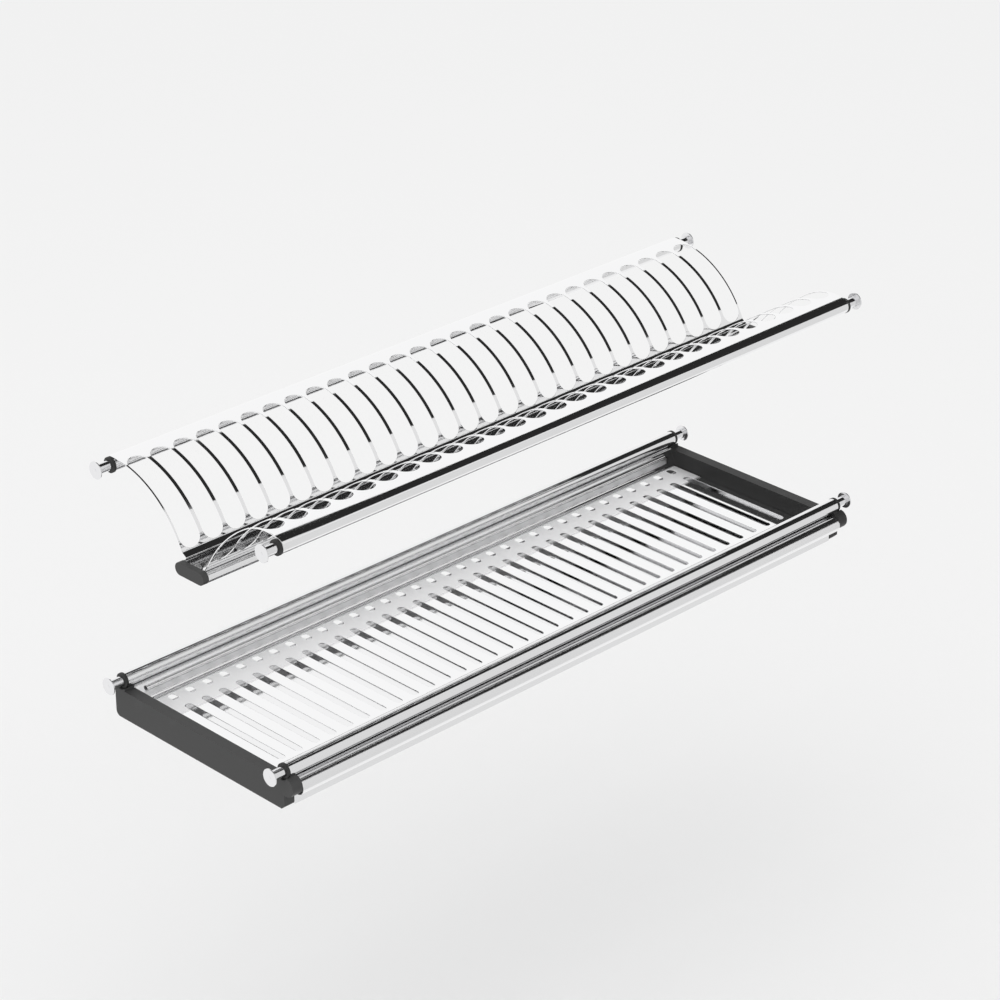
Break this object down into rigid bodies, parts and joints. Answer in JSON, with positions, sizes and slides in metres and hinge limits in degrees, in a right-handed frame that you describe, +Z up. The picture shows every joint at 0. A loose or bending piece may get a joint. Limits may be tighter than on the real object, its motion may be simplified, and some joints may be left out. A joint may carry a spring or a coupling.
{
  "type": "cabinet dish rack",
  "caption": "Two-level steel dish rack for a wall cabinet: curved plate rack above a slotted cup shelf with a pull-out drip tray, hung on sprung end pins.",
  "frame": {"origin": "middle of the footprint at the lowest point, the underside of the side plates", "axes": "+X along the rails to the viewer's right, +Y to the back of the cabinet, +Z up"},
  "size_m": [0.864, 0.277, 0.2978],
  "materials": {
    "polished_tube": "mirror polish",
    "mirror_sheet": "mirror polish",
    "polished_channel": "bright anodised",
    "steel_pin": "bright plated",
    "spring_steel": "plain",
    "dark_moulding": "fine grain",
    "tray_sheet": "bright rolled"
  },
  "bodies": {
    "racks": {"upper_rear_rail": "polished_tube", "upper_front_rail": "polished_tube", "plate_comb": "mirror_sheet", "plate_front_sheet": "mirror_sheet", "base_channel": "polished_channel", "base_cap_left": "dark_moulding", "base_cap_right": "dark_moulding", "lower_rear_rail": "polished_tube", "lower_front_rail": "polished_tube", "cup_shelf": "mirror_sheet", "bead_bar": "polished_channel", "front_profile": "polished_channel", "side_plate_left": "dark_moulding", "side_plate_right": "dark_moulding", "upper_rear_left_collar": "dark_moulding", "upper_rear_left_spring": "spring_steel", "upper_rear_left_stop": "dark_moulding", "upper_rear_right_collar": "dark_moulding", "upper_rear_right_spring": "spring_steel", "upper_rear_right_stop": "dark_moulding", "upper_front_left_collar": "dark_moulding", "upper_front_left_spring": "spring_steel", "upper_front_left_stop": "dark_moulding", "upper_front_right_collar": "dark_moulding", "upper_front_right_spring": "spring_steel", "upper_front_right_stop": "dark_moulding", "lower_rear_left_collar": "dark_moulding", "lower_rear_left_spring": "spring_steel", "lower_rear_left_stop": "dark_moulding", "lower_rear_right_collar": "dark_moulding", "lower_rear_right_spring": "spring_steel", "lower_rear_right_stop": "dark_moulding", "lower_front_left_collar": "dark_moulding", "lower_front_left_spring": "spring_steel", "lower_front_left_stop": "dark_moulding", "lower_front_right_collar": "dark_moulding", "lower_front_right_spring": "spring_steel", "lower_front_right_stop": "dark_moulding"},
    "tray": {"drip_tray": "tray_sheet"},
    "upper_rear_left_pin": {"upper_rear_left_pin": "steel_pin"},
    "upper_rear_right_pin": {"upper_rear_right_pin": "steel_pin"},
    "upper_front_left_pin": {"upper_front_left_pin": "steel_pin"},
    "upper_front_right_pin": {"upper_front_right_pin": "steel_pin"},
    "lower_rear_left_pin": {"lower_rear_left_pin": "steel_pin"},
    "lower_rear_right_pin": {"lower_rear_right_pin": "steel_pin"},
    "lower_front_left_pin": {"lower_front_left_pin": "steel_pin"},
    "lower_front_right_pin": {"lower_front_right_pin": "steel_pin"}
  },
  "joints": [
    {"name": "tray_slide", "type": "slide", "parent": "racks", "child": "tray", "axis": [0, -1, 0], "range_m": [0, 0.18]},
    {"name": "upper_rear_left_pin_slide", "type": "slide", "parent": "racks", "child": "upper_rear_left_pin", "axis": [1, 0, 0], "range_m": [0, 0.012], "stiffness_N_per_m": 1200, "springref_m": -0.01, "deforming": ["upper_rear_left_spring"]},
    {"name": "upper_rear_right_pin_slide", "type": "slide", "parent": "racks", "child": "upper_rear_right_pin", "axis": [-1, 0, 0], "range_m": [0, 0.012], "stiffness_N_per_m": 1200, "springref_m": -0.01, "deforming": ["upper_rear_right_spring"]},
    {"name": "upper_front_left_pin_slide", "type": "slide", "parent": "racks", "child": "upper_front_left_pin", "axis": [1, 0, 0], "range_m": [0, 0.012], "stiffness_N_per_m": 1200, "springref_m": -0.01, "deforming": ["upper_front_left_spring"]},
    {"name": "upper_front_right_pin_slide", "type": "slide", "parent": "racks", "child": "upper_front_right_pin", "axis": [-1, 0, 0], "range_m": [0, 0.012], "stiffness_N_per_m": 1200, "springref_m": -0.01, "deforming": ["upper_front_right_spring"]},
    {"name": "lower_rear_left_pin_slide", "type": "slide", "parent": "racks", "child": "lower_rear_left_pin", "axis": [1, 0, 0], "range_m": [0, 0.012], "stiffness_N_per_m": 1200, "springref_m": -0.01, "deforming": ["lower_rear_left_spring"]},
    {"name": "lower_rear_right_pin_slide", "type": "slide", "parent": "racks", "child": "lower_rear_right_pin", "axis": [-1, 0, 0], "range_m": [0, 0.012], "stiffness_N_per_m": 1200, "springref_m": -0.01, "deforming": ["lower_rear_right_spring"]},
    {"name": "lower_front_left_pin_slide", "type": "slide", "parent": "racks", "child": "lower_front_left_pin", "axis": [1, 0, 0], "range_m": [0, 0.012], "stiffness_N_per_m": 1200, "springref_m": -0.01, "deforming": ["lower_front_left_spring"]},
    {"name": "lower_front_right_pin_slide", "type": "slide", "parent": "racks", "child": "lower_front_right_pin", "axis": [-1, 0, 0], "range_m": [0, 0.012], "stiffness_N_per_m": 1200, "springref_m": -0.01, "deforming": ["lower_front_right_spring"]}
  ]
}
